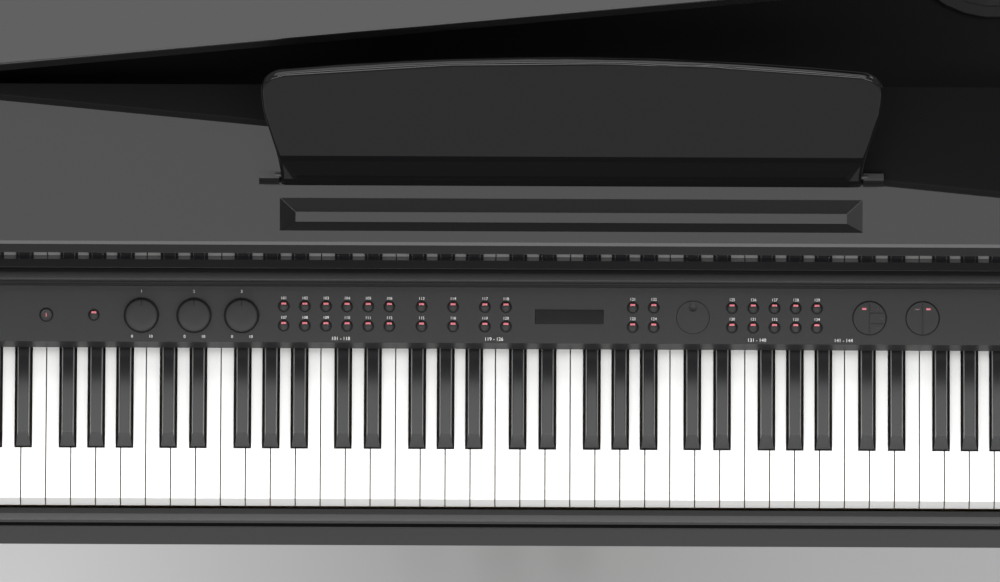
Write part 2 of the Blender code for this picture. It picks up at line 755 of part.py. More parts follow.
def upright(maker, name):
    # A cutter given about the desk's rod, leaned back with the desk.
    obj = add(name, maker, None, keyboard, (0.0, 0.0, 0.0), (-DESK_LEAN, 0.0, 0.0))
    obj.location = desk_axis
    obj.hide_render = True
    obj.display_type = "WIRE"
    return obj


relief = [(-0.0075, -0.008625), (0.0075, -0.002375), (0.0075, -0.02), (-0.0075, -0.02)]
past_desk = DESK_TOP_HALF + 0.009
combine(desk, upright(prism(relief, -past_desk, past_desk, "X"), "desk_relief"), "DIFFERENCE")
combine(desk, upright(round_bar(ROD_RADIUS + TOUCH, -past_desk, past_desk, (0.0, 0.0)), "desk_bore"), "DIFFERENCE")

block_inner = DESK_FOOT_HALF + 0.001
rod = add(
    "desk_hinge_rod",
    round_bar(ROD_RADIUS, -block_inner - ROD_SEAT, block_inner + ROD_SEAT, desk_axis[1:]),
    STEEL,
    keyboard,
)
for side in (-1, 1):
    spans = sorted((side * block_inner, side * (block_inner + ROD_BLOCK_LENGTH)))
    depth = (ROD_BLOCK_FRONT, ROD_BLOCK_FRONT + ROD_BLOCK[0])
    join(rod, box(spans, depth, (TOP_LEVEL + TOUCH, TOP_LEVEL + ROD_BLOCK[1])))

# Control panel
fascia = [(0.0, 0.0), (-0.00564, -0.0155), (-0.00188, -0.01687), (0.0028, -PANEL_THICK)]
fascia += [(PANEL_LENGTH, -PANEL_THICK), (PANEL_LENGTH, 0.0)]
control_panel = add(
    "control_panel", prism(fascia, TOUCH - CHEEK_HALF, CHEEK_HALF - TOUCH, "X"), SATIN_BLACK, panel
)
small_spots = {"demo_button": [(DEMO_X, MIDDLE_ROW)]}
for name, (first, pitch) in BUTTON_GROUPS.items():
    columns = [first + pitch * index for index in range(COLUMN_COUNTS[name])]
    small_spots[name] = [(x, s) for s in (ROW_LOW, ROW_HIGH) for x in columns]
openings = [
    disc(x, s, BUTTON_RADIUS + TOUCH, -0.01, 0.01)
    for spots in small_spots.values()
    for x, s in spots
]
openings.append(disc(POWER_X, MIDDLE_ROW, POWER_RADIUS + TOUCH, -0.01, 0.01, 24))
for x in (RECORD_X, SONG_X):
    openings.append(disc(x, MIDDLE_ROW, PAD_RADIUS + TOUCH, -0.01, 0.01, 32))
openings.append(
    box(
        (DISPLAY_X - DISPLAY_SIZE[0] / 2 - TOUCH, DISPLAY_X + DISPLAY_SIZE[0] / 2 + TOUCH),
        (MIDDLE_ROW - DISPLAY_SIZE[1] / 2 - TOUCH, MIDDLE_ROW + DISPLAY_SIZE[1] / 2 + TOUCH),
        (-0.01, 0.01),
    )
)
cut(control_panel, together(*openings))
shafts = [disc(x, MIDDLE_ROW, SHAFT_RADIUS + TOUCH, -0.01, 0.0, 16) for x in KNOB_XS.values()]
shafts.append(disc(WHEEL_X, MIDDLE_ROW, SHAFT_RADIUS + TOUCH, -0.01, 0.0, 16))
wells = [disc(x, MIDDLE_ROW, KNOB_WELL, -WELL_DEPTH, 0.01, 28) for x in KNOB_XS.values()]
wells.append(disc(WHEEL_X, MIDDLE_ROW, WHEEL_WELL, -WELL_DEPTH, 0.01, 32))
shaft_cutter = helper("shaft_holes", together(*shafts), panel)
well_cutter = helper("control_wells", together(*wells), panel)
combine(control_panel, shaft_cutter, "DIFFERENCE")
combine(control_panel, well_cutter, "DIFFERENCE")

board = add(
    "panel_board",
    box(*PANEL_BOARD, (-BOARD_DROP - BOARD_THICK, -BOARD_DROP)),
    CIRCUIT,
    panel,
)
posts = [
    disc(x, PANEL_BOARD[1][1] - 0.012, POST_RADIUS, -BOARD_DROP - 0.001, -PANEL_THICK - TOUCH, 12)
    for x in PANEL_POSTS
]
join(board, together(*posts))

# Controls, each with its web under the panel
web_level = (WEB_TOP - WEB_THICK, WEB_TOP)
for name, spots in small_spots.items():
    columns = [x for x, s in spots]
    rows = [s for x, s in spots]
    margin = BUTTON_RADIUS + WEB_MARGIN
    web = box(
        (min(columns) - margin, max(columns) + margin), (min(rows) - margin, max(rows) + margin), web_level
    )
    origin = (sum(columns) / len(columns), sum(rows) / len(rows), 0.0)
    group = add(name, web, SATIN_BLACK, panel, origin)
    caps = [disc(x, s, BUTTON_RADIUS, WEB_TOP - 0.001, BUTTON_RISE) for x, s in spots]
    join(group, together(*caps))

power_profile = [(0.0, web_level[0]), (0.0075, web_level[0]), (0.0075, WEB_TOP)]
power_profile += [(POWER_RADIUS, WEB_TOP), (POWER_RADIUS, 0.0012), (0.0052, 0.0020), (0.0, 0.0014)]
spot = (POWER_X, MIDDLE_ROW, 0.0)
add("power_button", turned(power_profile, 24, spot), SATIN_BLACK, panel, spot)

shaft_foot = TOUCH - BOARD_DROP
for name, x in KNOB_XS.items():
    spot = (x, MIDDLE_ROW, 0.0)
    knob_profile = [(0.0, shaft_foot), (SHAFT_RADIUS, shaft_foot), (SHAFT_RADIUS, TOUCH - WELL_DEPTH)]
    knob_profile += [(KNOB_RADIUS, TOUCH - WELL_DEPTH), (KNOB_RADIUS, 0.0020), (0.0146, 0.0060)]
    knob_profile += [(0.0138, KNOB_RISE - 0.0008), (0.0130, KNOB_RISE), (0.0, KNOB_RISE)]
    knob = add(name, turned(knob_profile, 28, spot), SATIN_BLACK, panel, spot)
    pointer = box(
        (x - POINTER_WIDTH / 2, x + POINTER_WIDTH / 2),
        (MIDDLE_ROW + POINTER_START, MIDDLE_ROW + KNOB_RADIUS + 0.001),
        (KNOB_RISE - POINTER_DEPTH, KNOB_RISE + 0.010),
    )
    cut(knob, pointer)

spot = (WHEEL_X, MIDDLE_ROW, 0.0)
wheel_profile = [(0.0, shaft_foot), (SHAFT_RADIUS, shaft_foot), (SHAFT_RADIUS, TOUCH - WELL_DEPTH)]
wheel_profile += [(WHEEL_RADIUS, TOUCH - WELL_DEPTH), (WHEEL_RADIUS, 0.0006), (0.0149, 0.0010)]
wheel_profile.append((0.0, 0.0010))
wheel = add("data_wheel", turned(wheel_profile, 32, spot), SATIN_BLACK, panel, spot)
cut(wheel, disc(WHEEL_X, MIDDLE_ROW + 0.0094, 0.0038, 0.0002, 0.01))

pad_profile = [(0.0, web_level[0]), (0.0175, web_level[0]), (0.0175, WEB_TOP), (PAD_RADIUS, WEB_TOP)]
pad_profile += [(PAD_RADIUS, 0.0010), (PAD_RADIUS - 0.0006, 0.0015), (0.0, 0.0015)]
for name, x in (("record_pads", RECORD_X), ("song_pads", SONG_X)):
    spot = (x, MIDDLE_ROW, 0.0)
    pads = add(name, turned(pad_profile, 32, spot), SATIN_BLACK, panel, spot)
    grooves = [box((x - 0.0005, x + 0.0005), (MIDDLE_ROW - 0.02, MIDDLE_ROW + 0.02), (0.0007, 0.01))]
    if name == "record_pads":
        for s in (MIDDLE_ROW - 0.005, MIDDLE_ROW + 0.005):
            grooves.append(box((x, x + 0.02), (s - 0.0004, s + 0.0004), (0.0007, 0.011)))
    for number, groove in enumerate(grooves):
        combine(pads, helper(f"{name}_groove_{number}", groove, panel), "DIFFERENCE")

display = box(
    (DISPLAY_X - DISPLAY_SIZE[0] / 2, DISPLAY_X + DISPLAY_SIZE[0] / 2),
    (MIDDLE_ROW - DISPLAY_SIZE[1] / 2, MIDDLE_ROW + DISPLAY_SIZE[1] / 2),
    (shaft_foot, -0.0004),
)
add("display_module", display, ((0.02, 0.02, 0.022), 0.15), panel)

# Keys: one octave is separate, and the others are held in two combs
middle = range(MIDDLE_FIRST, MIDDLE_FIRST + MIDDLE_COUNT)
pivot = (KEY_PIVOT, -WHITE_THICK)
for index in range(WHITE_COUNT):
    if index not in middle:
        continue
    origin = (white_left(index) + KEY_PITCH / 2, *pivot)
    add(f"key_{letter(index).lower()}4", white_key(index, WHITE_LENGTH), IVORY_WHITE, keyboard, origin)
    behind = black_after(index)
    if behind is not None:
        name = f"key_{letter(index).lower()}s4"
        add(name, black_key(behind, BLACK_TAIL), KEY_BLACK, keyboard, (behind, *pivot))

bar_front = WHITE_LENGTH + 0.0015
bar = box((0.002 - KEYS_HALF, KEYS_HALF - 0.002), (bar_front, bar_front + KEY_BAR), (-0.0200, -0.0005))
white_comb = add("white_keys", bar, IVORY_WHITE, keyboard, (0.0, *pivot))
others = [white_key(index, bar_front + 0.003) for index in range(WHITE_COUNT) if index not in middle]
join(white_comb, together(*others))

others = [index for index in range(WHITE_COUNT) if index not in middle and black_after(index) is not None]
bar_spans = (black_after(others[0]) - 0.004, black_after(others[-1]) + 0.004)
bar_front = WHITE_LENGTH - 0.006
bar = box(bar_spans, (bar_front, bar_front + 0.012), (BLACK_BAR_RISE, BLACK_BAR_RISE + BLACK_BAR_THICK))
black_comb = add("black_keys", bar, KEY_BLACK, keyboard, (0.0, *pivot))
join(black_comb, together(*[black_key(black_after(index), WHITE_LENGTH) for index in others]))

base = KEYBED_TOP + TOUCH
rest = base + 0.0047
rest_rear = KEY_PIVOT + 0.017
rest_block = (KEY_PIVOT - 0.004, KEY_PIVOT + 0.004)
key_rest = [(0.010, base), (rest_rear, base), (rest_rear, rest), (rest_block[1], rest)]
key_rest += [(rest_block[1], -WHITE_THICK - TOUCH), (rest_block[0], -WHITE_THICK - TOUCH)]
key_rest += [(rest_block[0], rest), (0.034, rest), (0.034, -0.033)]
key_rest += [(0.020, -0.033), (0.020, rest), (0.010, rest)]
half = KEYS_HALF - 0.0005
add("key_frame", prism(key_rest, -half, half, "X"), PALE_WOOD, keyboard)

# Speakers and electronics inside the case
flange = DECK_TOP + TOUCH
speaker_profile = [(0.0, 0.1120), (0.018, 0.1080), (0.024, 0.1020), (0.066, 0.1270), (0.071, 0.1320)]
speaker_profile += [(0.077, 0.1332), (0.082, 0.1310), (0.0840, 0.1330), (SPEAKER_RADIUS, 0.1330)]
speaker_profile += [(SPEAKER_RADIUS, flange), (BASKET_RADIUS, flange), (BASKET_RADIUS, 0.118)]
speaker_profile += [(0.080, 0.118), (0.080, 0.1280), (0.066, 0.1235), (0.027, 0.0980), (0.027, 0.088)]
speaker_profile += [(0.048, 0.088), (0.048, 0.058), (0.0, 0.058)]
for name, side in (("left_speaker", -1), ("right_speaker", 1)):
    centre = (side * SPEAKER_X, SPEAKER_Y, 0.0)
    add(name, turned(speaker_profile, 30, centre), CONE_PAPER, keyboard, (*centre[:2], flange))

ground = CASE_BOTTOM + BOTTOM_THICK + TOUCH
board_x = (BOARD_SPOT[0], BOARD_SPOT[0] + BOARD_SIZE[0])
board_y = (BOARD_SPOT[1], BOARD_SPOT[1] + BOARD_SIZE[1])
board = add("main_board", box(board_x, board_y, (ground + 0.008, ground + 0.0096)), CIRCUIT, keyboard)
parts = [
    disc(x, y, 0.004, ground, ground + 0.009, 12)
    for x in (board_x[0] + 0.010, board_x[1] - 0.010)
    for y in (board_y[0] + 0.010, board_y[1] - 0.010)
]
for along, across, width, depth, height in (
    (0.050, 0.080, 0.030, 0.030, 0.004),
    (0.110, 0.090, 0.024, 0.024, 0.003),
    (0.165, 0.040, 0.034, 0.012, 0.006),
    (0.080, 0.025, 0.050, 0.010, 0.010),
    (0.160, 0.130, 0.040, 0.014, 0.012),
):
    chip_x = (board_x[0] + along - width / 2, board_x[0] + along + width / 2)
    chip_y = (board_y[0] + across - depth / 2, board_y[0] + across + depth / 2)
    parts.append(box(chip_x, chip_y, (ground + 0.009, ground + 0.0096 + height)))
join(board, together(*parts))

supply_x = (SUPPLY_SPOT[0], SUPPLY_SPOT[0] + SUPPLY_SIZE[0])
supply_y = (SUPPLY_SPOT[1], SUPPLY_SPOT[1] + SUPPLY_SIZE[1])
supply_top = ground + SUPPLY_SIZE[2]
supply = add("power_supply", box(supply_x, supply_y, (ground, supply_top)), STEEL, keyboard)
fins = []
fin_y = (supply_y[0] + 0.010, supply_y[1] - 0.010)
for index in range(12):
    left = supply_x[0] + 0.010 + 0.012 * index
    fins.append(box((left, left + 0.004), fin_y, (supply_top - 0.001, supply_top + 0.010)))
for span in ((supply_x[0] - 0.015, supply_x[0] + 0.001), (supply_x[1] - 0.001, supply_x[1] + 0.015)):
    fins.append(box(span, (supply_y[0] + 0.040, supply_y[0] + 0.060), (ground, ground + 0.003)))
join(supply, together(*fins))

# Legs, lyre and pedals
top = (CASE_BOTTOM - TOUCH - FLOOR, LEG_PROFILE[-1][1])
leg_x = HALF_CASE - LEG_INSET
leg_spots = {"left_leg": (-leg_x, FRONT_LEG_Y), "right_leg": (leg_x, FRONT_LEG_Y), "rear_leg": REAR_LEG}
for name, spot in leg_spots.items():
    add(name, tapered((*LEG_PROFILE, top), *spot, FLOOR), GLOSS_BLACK, keyboard)

box_top = FLOOR + LYRE_BOX_FLOOR + LYRE_BOX[2]
box_y = (LYRE_Y - LYRE_BOX[1] / 2, LYRE_Y + LYRE_BOX[1] / 2)
pedal_level = FLOOR + PEDAL_LEVEL
lyre_box = box((-LYRE_BOX[0] / 2, LYRE_BOX[0] / 2), box_y, (FLOOR + LYRE_BOX_FLOOR, box_top))
lyre = add("lyre", lyre_box, GLOSS_BLACK, keyboard)
plate_top = CASE_BOTTOM - TOUCH
plate = box(
    (-LYRE_PLATE[0] / 2, LYRE_PLATE[0] / 2),
    (LYRE_Y - LYRE_PLATE[1] / 2, LYRE_Y + LYRE_PLATE[1] / 2),
    (plate_top - LYRE_PLATE[2], plate_top),
)
lyre_parts = [plate]
for side in (-1, 1):
    spans = sorted((side * (LYRE_POST_X - LYRE_POST / 2), side * (LYRE_POST_X + LYRE_POST / 2)))
    depth = (LYRE_Y - LYRE_POST / 2, LYRE_Y + LYRE_POST / 2)
    lyre_parts.append(box(spans, depth, (box_top - 0.005, plate_top - LYRE_PLATE[2] / 2)))
for part in lyre_parts:
    join(lyre, part)
pedal_pivot = box_y[0] + PEDAL_PIVOT_DEPTH
slot_y = (box_y[0] - 0.010, pedal_pivot + PEDAL_HUB + 0.003)
slot_z = (pedal_level - 2 * PEDAL_HUB, pedal_level + PEDAL_HUB + 0.003)
slot_half = PEDAL_WIDTH / 2 + PEDAL_SLOT_GAP
slots = [box((x - slot_half, x + slot_half), slot_y, slot_z) for x in PEDAL_XS.values()]
cut(lyre, together(*slots))
axle = round_bar(PEDAL_AXLE, -AXLE_LENGTH / 2, AXLE_LENGTH / 2, (pedal_pivot, pedal_level))
combine(lyre, helper("pedal_axle", axle, keyboard), "UNION")

for name, x in PEDAL_XS.items():
    half = PEDAL_WIDTH / 2
    front = box_y[0] - PEDAL_REACH + PEDAL_TIP
    shoulder = box_y[0] - PEDAL_SHOULDER
    neck = box_y[0] - PEDAL_NECK
    plan = [(x + half, pedal_pivot), (x - half, pedal_pivot), (x - half, shoulder)]
    plan += [(x - PEDAL_TIP, neck)] + arc((x, front), PEDAL_TIP, 180.0, 360.0, 10)
    plan += [(x + PEDAL_TIP, neck), (x + half, shoulder)]
    span = (pedal_level - PEDAL_THICK / 2, pedal_level + PEDAL_THICK / 2)
    axis = (x, pedal_pivot, pedal_level)
    pedal = add(name, prism(plan, *span, "Z"), BRASS, keyboard, axis)
    join(pedal, round_bar(PEDAL_HUB, x - half, x + half, axis[1:]))
    cut(pedal, round_bar(PEDAL_AXLE + TOUCH, x - PEDAL_WIDTH, x + PEDAL_WIDTH, axis[1:]))
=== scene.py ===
import json
import math

import bmesh
import bpy
from mathutils import Matrix, Vector


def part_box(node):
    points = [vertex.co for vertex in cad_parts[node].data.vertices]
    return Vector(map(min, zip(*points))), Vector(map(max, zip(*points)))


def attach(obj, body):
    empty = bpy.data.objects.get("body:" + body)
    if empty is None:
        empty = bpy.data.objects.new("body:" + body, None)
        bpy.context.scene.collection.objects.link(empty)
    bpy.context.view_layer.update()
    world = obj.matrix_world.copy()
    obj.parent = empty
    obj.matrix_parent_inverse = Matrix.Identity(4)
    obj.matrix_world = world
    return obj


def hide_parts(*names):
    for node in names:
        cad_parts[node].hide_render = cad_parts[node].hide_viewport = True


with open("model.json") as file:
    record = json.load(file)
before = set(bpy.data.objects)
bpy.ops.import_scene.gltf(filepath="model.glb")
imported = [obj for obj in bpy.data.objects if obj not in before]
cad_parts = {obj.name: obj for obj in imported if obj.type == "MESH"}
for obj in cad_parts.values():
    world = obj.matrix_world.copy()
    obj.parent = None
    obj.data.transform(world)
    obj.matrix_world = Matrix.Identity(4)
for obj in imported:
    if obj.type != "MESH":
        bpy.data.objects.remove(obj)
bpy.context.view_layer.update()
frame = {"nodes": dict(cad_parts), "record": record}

print("frame loaded")

# where the keyboard and the panel stand in the frame
keyboard = {"front": -0.535, "top": 0.735}
panel = {"foot": (0.146, 0.029), "slope": math.radians(20.0)}


def atKeys(x, y, z):
    # metres from the middle of the white keys' front edge
    return Vector((x, y + keyboard["front"], z + keyboard["top"]))


def onPanel(x, up, out=0.0):
    # metres along the panel, up its slope and out of its face
    turn = panel["slope"]
    y = panel["foot"][0] + up * math.cos(turn) - out * math.sin(turn)
    z = panel["foot"][1] + up * math.sin(turn) + out * math.cos(turn)
    return atKeys(x, y, z)


# small helpers for working as by hand
def deselectAll():
    bpy.ops.object.select_all(action="DESELECT")


def makeActive(piece):
    deselectAll()
    piece.select_set(True)
    bpy.context.view_layer.objects.active = piece


def applyPlace(piece):
    makeActive(piece)
    bpy.ops.object.transform_apply(location=True, rotation=True, scale=True)


def addBlock(name, low, high):
    deselectAll()
    middle = [(a + b) / 2 for a, b in zip(low, high)]
    size = [b - a for a, b in zip(low, high)]
    bpy.ops.mesh.primitive_cube_add(size=1.0, location=middle, scale=size)
    piece = bpy.context.active_object
    piece.name = name
    applyPlace(piece)
    return piece


def addDisc(name, radius, low, high, sides=48):
    # stands on the world origin, and is moved on to the panel later
    deselectAll()
    middle = (0.0, 0.0, (low + high) / 2)
    bpy.ops.mesh.primitive_cylinder_add(vertices=sides, radius=radius, depth=high - low, location=middle)
    piece = bpy.context.active_object
    piece.name = name
    applyPlace(piece)
    return piece


def selectFaces(piece, test):
    # leaves the piece in edit mode with the faces that pass the test selected
    makeActive(piece)
    bpy.ops.object.mode_set(mode="EDIT")
    bpy.ops.mesh.select_mode(type="FACE")
    bpy.ops.mesh.select_all(action="DESELECT")
    mesh = bmesh.from_edit_mesh(piece.data)
    for face in mesh.faces:
        if test(face.normal, face.calc_center_median()):
            face.select_set(True)
    bmesh.update_edit_mesh(piece.data)


def leaveEdit():
    bpy.ops.object.mode_set(mode="OBJECT")


def applyModifier(piece, modifier):
    makeActive(piece)
    bpy.ops.object.modifier_apply(modifier=modifier.name)


def easeEdges(piece, width, segments=2, angle=30.0, sharp=40.0):
    # rounds the edges and keeps the broad faces flat in the shading
    if width > 0:
        bevel = piece.modifiers.new("easedEdges", "BEVEL")
        bevel.width = width
        bevel.segments = segments
        bevel.limit_method = "ANGLE"
        bevel.angle_limit = math.radians(angle)
        bevel.use_clamp_overlap = True
        applyModifier(piece, bevel)
    makeActive(piece)
    bpy.ops.object.shade_smooth_by_angle(angle=math.radians(sharp))
    weighted = piece.modifiers.new("flatFaces", "WEIGHTED_NORMAL")
    weighted.keep_sharp = True
    applyModifier(piece, weighted)


def cutAway(piece, cutter):
    modifier = piece.modifiers.new("cutAway", "BOOLEAN")
    modifier.operation = "DIFFERENCE"
    modifier.solver = "EXACT"
    modifier.object = cutter
    applyModifier(piece, modifier)
    bpy.data.objects.remove(cutter)


def joinPieces(name, pieces):
    makeActive(pieces[0])
    for piece in pieces[1:]:
        piece.select_set(True)
    if len(pieces) > 1:
        bpy.ops.object.join()
    joined = bpy.context.active_object
    joined.name = name
    return joined


def copyOf(piece, name):
    twin = bpy.data.objects.new(name, piece.data.copy())
    bpy.context.scene.collection.objects.link(twin)
    return twin


def placeOnPanel(piece, x, up, out=0.0):
    piece.matrix_world = Matrix.Translation(onPanel(x, up, out)) @ Matrix.Rotation(panel["slope"], 4, "X")
    applyPlace(piece)
    return piece


def hand(piece, body, material, stands=()):
    # gives a finished piece its material and its body, and hides the frame's nodes it takes the place of
    piece.data.materials.clear()
    piece.data.materials.append(material)
    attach(piece, body)
    if stands:
        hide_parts(*stands)
    return piece


def bodyOf(node):
    for body, members in frame["record"]["behaviour"]["bodies"].items():
        if node in members:
            return body
    raise ValueError(node)


# shader groups that several materials share
def startGroup(name, inputs, outputs):
    group = bpy.data.node_groups.new(name, "ShaderNodeTree")
    for label, kind, value in inputs:
        socket = group.interface.new_socket(name=label, in_out="INPUT", socket_type=kind)
        if value is not None:
            socket.default_value = value
    for label, kind in outputs:
        group.interface.new_socket(name=label, in_out="OUTPUT", socket_type=kind)
    return group, group.nodes.new("NodeGroupInput"), group.nodes.new("NodeGroupOutput")


def addNoise(group, vector, scale, detail=2.0, roughness=0.5):
    noise = group.nodes.new("ShaderNodeTexNoise")
    noise.inputs["Detail"].default_value = detail
    noise.inputs["Roughness"].default_value = roughness
    group.links.new(vector, noise.inputs["Vector"])
    if isinstance(scale, float):
        noise.inputs["Scale"].default_value = scale
    else:
        group.links.new(scale, noise.inputs["Scale"])
    return noise.outputs["Fac"]


def addMath(group, operation, first, second):
    node = group.nodes.new("ShaderNodeMath")
    node.operation = operation
    for socket, value in zip(node.inputs, (first, second)):
        if isinstance(value, float):
            socket.default_value = value
        else:
            group.links.new(value, socket)
    return node.outputs[0]


def addTint(group, fac, low, high):
    # a colour between two others, by a mask
    mix = group.nodes.new("ShaderNodeMix")
    mix.data_type = "RGBA"
    group.links.new(fac, mix.inputs[0])
    for socket, value in ((mix.inputs[6], low), (mix.inputs[7], high)):
        if isinstance(value, tuple):
            socket.default_value = value
        else:
            group.links.new(value, socket)
    return mix.outputs[2]


def makeFinishGroup(name, dust, swirl, stretch):
    # colour and roughness that drift a little, over a fine grain
    inputs = [
        ("Vector", "NodeSocketVector", None),
        ("Dark", "NodeSocketColor", (0.01, 0.01, 0.01, 1.0)),
        ("Light", "NodeSocketColor", (0.02, 0.02, 0.02, 1.0)),
        ("Grain Scale", "NodeSocketFloat", 400.0),
        ("Smoothest", "NodeSocketFloat", 0.05),
        ("Roughest", "NodeSocketFloat", 0.10),
    ]
    outputs = [("Color", "NodeSocketColor"), ("Roughness", "NodeSocketFloat"), ("Height", "NodeSocketFloat")]
    group, entry, leave = startGroup(name, inputs, outputs)
    mapping = group.nodes.new("ShaderNodeMapping")
    mapping.inputs["Scale"].default_value = stretch
    group.links.new(entry.outputs["Vector"], mapping.inputs["Vector"])
    fine = addNoise(group, mapping.outputs["Vector"], entry.outputs["Grain Scale"], 3.0, 0.6)
    broad = addNoise(group, entry.outputs["Vector"], swirl, 3.0)
    specks = addNoise(group, entry.outputs["Vector"], dust, 1.0)
    fineShare = addMath(group, "MULTIPLY", fine, 0.55)
    broadShare = addMath(group, "MULTIPLY", broad, 0.45)
    mask = addMath(group, "ADD", fineShare, broadShare)
    group.links.new(
        addTint(group, mask, entry.outputs["Dark"], entry.outputs["Light"]), leave.inputs["Color"]
    )
    span = addMath(group, "SUBTRACT", entry.outputs["Roughest"], entry.outputs["Smoothest"])
    wander = addMath(group, "MULTIPLY", addMath(group, "ADD", broad, specks), 0.5)
    drift = addMath(group, "MULTIPLY", span, wander)
    group.links.new(addMath(group, "ADD", entry.outputs["Smoothest"], drift), leave.inputs["Roughness"])
    group.links.new(fine, leave.inputs["Height"])
    return group


finishGroups = {
    "lacquer": makeFinishGroup("polishedLacquer", 90.0, 1.6, (1.0, 1.0, 1.0)),
    "moulded": makeFinishGroup("mouldedGrain", 150.0, 4.0, (1.0, 1.0, 1.0)),
    "brushed": makeFinishGroup("brushedLines", 200.0, 6.0, (0.04, 1.0, 1.0)),
    "timber": makeFinishGroup("timberPores", 120.0, 2.5, (0.06, 1.0, 1.0)),
}

# each finish: its group, its two colours, the grain and how rough it is
finishes = {
    "lidLacquer": {
        "group": "lacquer", "dark": (0.006, 0.006, 0.0065), "light": (0.010, 0.010, 0.0105),
        "grain": 700.0, "rough": (0.012, 0.03), "bump": 0.001, "specular": 0.52,
    },
    "caseLacquer": {
        "group": "lacquer", "dark": (0.006, 0.006, 0.0065), "light": (0.010, 0.010, 0.0105),
        "grain": 700.0, "rough": (0.010, 0.025), "bump": 0.0008, "specular": 0.36,
    },
    "deskLacquer": {
        "group": "lacquer", "dark": (0.003, 0.003, 0.0035), "light": (0.006, 0.006, 0.0065),
        "grain": 700.0, "rough": (0.015, 0.035), "bump": 0.0008, "specular": 0.34,
    },
    "fasciaLacquer": {
        "group": "lacquer", "dark": (0.005, 0.005, 0.006), "light": (0.008, 0.008, 0.009),
        "grain": 700.0, "rough": (0.03, 0.05), "bump": 0.001, "specular": 0.035,
    },
    "satinControl": {
        "group": "moulded", "dark": (0.012, 0.012, 0.0125), "light": (0.018, 0.018, 0.0185),
        "grain": 1800.0, "rough": (0.34, 0.46), "bump": 0.03, "specular": 0.24,
    },
    "coverSatin": {
        "group": "moulded", "dark": (0.012, 0.012, 0.0125), "light": (0.018, 0.018, 0.0185),
        "grain": 900.0, "rough": (0.30, 0.40), "bump": 0.02, "specular": 0.28,
    },
    "slipSatin": {
        "group": "moulded", "dark": (0.024, 0.024, 0.0245), "light": (0.033, 0.033, 0.0335),
        "grain": 900.0, "rough": (0.30, 0.40), "bump": 0.02, "specular": 0.4,
    },
    "whiteKeyTop": {
        "group": "moulded", "dark": (0.80, 0.80, 0.785), "light": (0.86, 0.86, 0.845),
        "grain": 300.0, "rough": (0.14, 0.22), "bump": 0.003, "specular": 0.45,
        "coat": 0.25, "coatRough": 0.05,
    },
    "blackKeyTop": {
        "group": "moulded", "dark": (0.012, 0.012, 0.013), "light": (0.018, 0.018, 0.019),
        "grain": 1200.0, "rough": (0.12, 0.20), "bump": 0.01, "specular": 0.42,
    },
    "boardBlack": {
        "group": "timber", "dark": (0.010, 0.010, 0.010), "light": (0.022, 0.021, 0.020),
        "grain": 260.0, "rough": (0.45, 0.65), "bump": 0.06, "specular": 0.25,
    },
    "deckBlack": {
        "group": "moulded", "dark": (0.004, 0.004, 0.004), "light": (0.007, 0.007, 0.007),
        "grain": 600.0, "rough": (0.35, 0.5), "bump": 0.03, "specular": 0.15,
    },
    "bareTimber": {
        "group": "timber", "dark": (0.34, 0.22, 0.12), "light": (0.52, 0.38, 0.24),
        "grain": 220.0, "rough": (0.55, 0.75), "bump": 0.10, "specular": 0.3,
    },
    "hingeBrass": {
        "group": "brushed", "dark": (0.50, 0.34, 0.13), "light": (0.68, 0.50, 0.24),
        "grain": 900.0, "rough": (0.18, 0.30), "bump": 0.02, "specular": 0.5, "metal": 1.0,
    },
    "pedalBrass": {
        "group": "brushed", "dark": (0.55, 0.38, 0.15), "light": (0.74, 0.56, 0.27),
        "grain": 900.0, "rough": (0.12, 0.24), "bump": 0.02, "specular": 0.5, "metal": 1.0,
    },
    "blackSteel": {
        "group": "brushed", "dark": (0.025, 0.025, 0.025), "light": (0.045, 0.045, 0.045),
        "grain": 900.0, "rough": (0.28, 0.40), "bump": 0.02, "specular": 0.5, "metal": 0.8,
    },
    "finnedMetal": {
        "group": "brushed", "dark": (0.34, 0.34, 0.35), "light": (0.52, 0.52, 0.53),
        "grain": 800.0, "rough": (0.30, 0.45), "bump": 0.03, "specular": 0.5, "metal": 1.0,
    },
    "circuitGreen": {
        "group": "moulded", "dark": (0.008, 0.055, 0.026), "light": (0.016, 0.095, 0.045),
        "grain": 500.0, "rough": (0.35, 0.5), "bump": 0.03, "specular": 0.4, "coat": 0.2, "coatRough": 0.1,
    },
    "speakerPaper": {
        "group": "moulded", "dark": (0.010, 0.010, 0.010), "light": (0.022, 0.022, 0.022),
        "grain": 700.0, "rough": (0.55, 0.8), "bump": 0.12, "specular": 0.2,
    },
    "smokedWindow": {
        "group": "lacquer", "dark": (0.006, 0.006, 0.0065), "light": (0.008, 0.008, 0.0085),
        "grain": 400.0, "rough": (0.10, 0.16), "bump": 0.001, "specular": 0.3,
    },
    "rubberBlack": {
        "group": "moulded", "dark": (0.012, 0.012, 0.012), "light": (0.022, 0.022, 0.022),
        "grain": 700.0, "rough": (0.6, 0.8), "bump": 0.06, "specular": 0.3,
    },
    "inkWhite": {
        "group": "moulded", "dark": (0.66, 0.66, 0.65), "light": (0.78, 0.78, 0.77),
        "grain": 1500.0, "rough": (0.5, 0.65), "bump": 0.01, "specular": 0.3,
    },
    # near-black, for the knob pointers and for painted shade: the rings in the gaps round the controls and
    # the ribs on the cover's rail
    "paintedShadeAndPointerBlack": {
        "group": "moulded", "dark": (0.004, 0.004, 0.004), "light": (0.008, 0.008, 0.008),
        "grain": 700.0, "rough": (0.5, 0.7), "bump": 0.01, "specular": 0.2,
    },
}


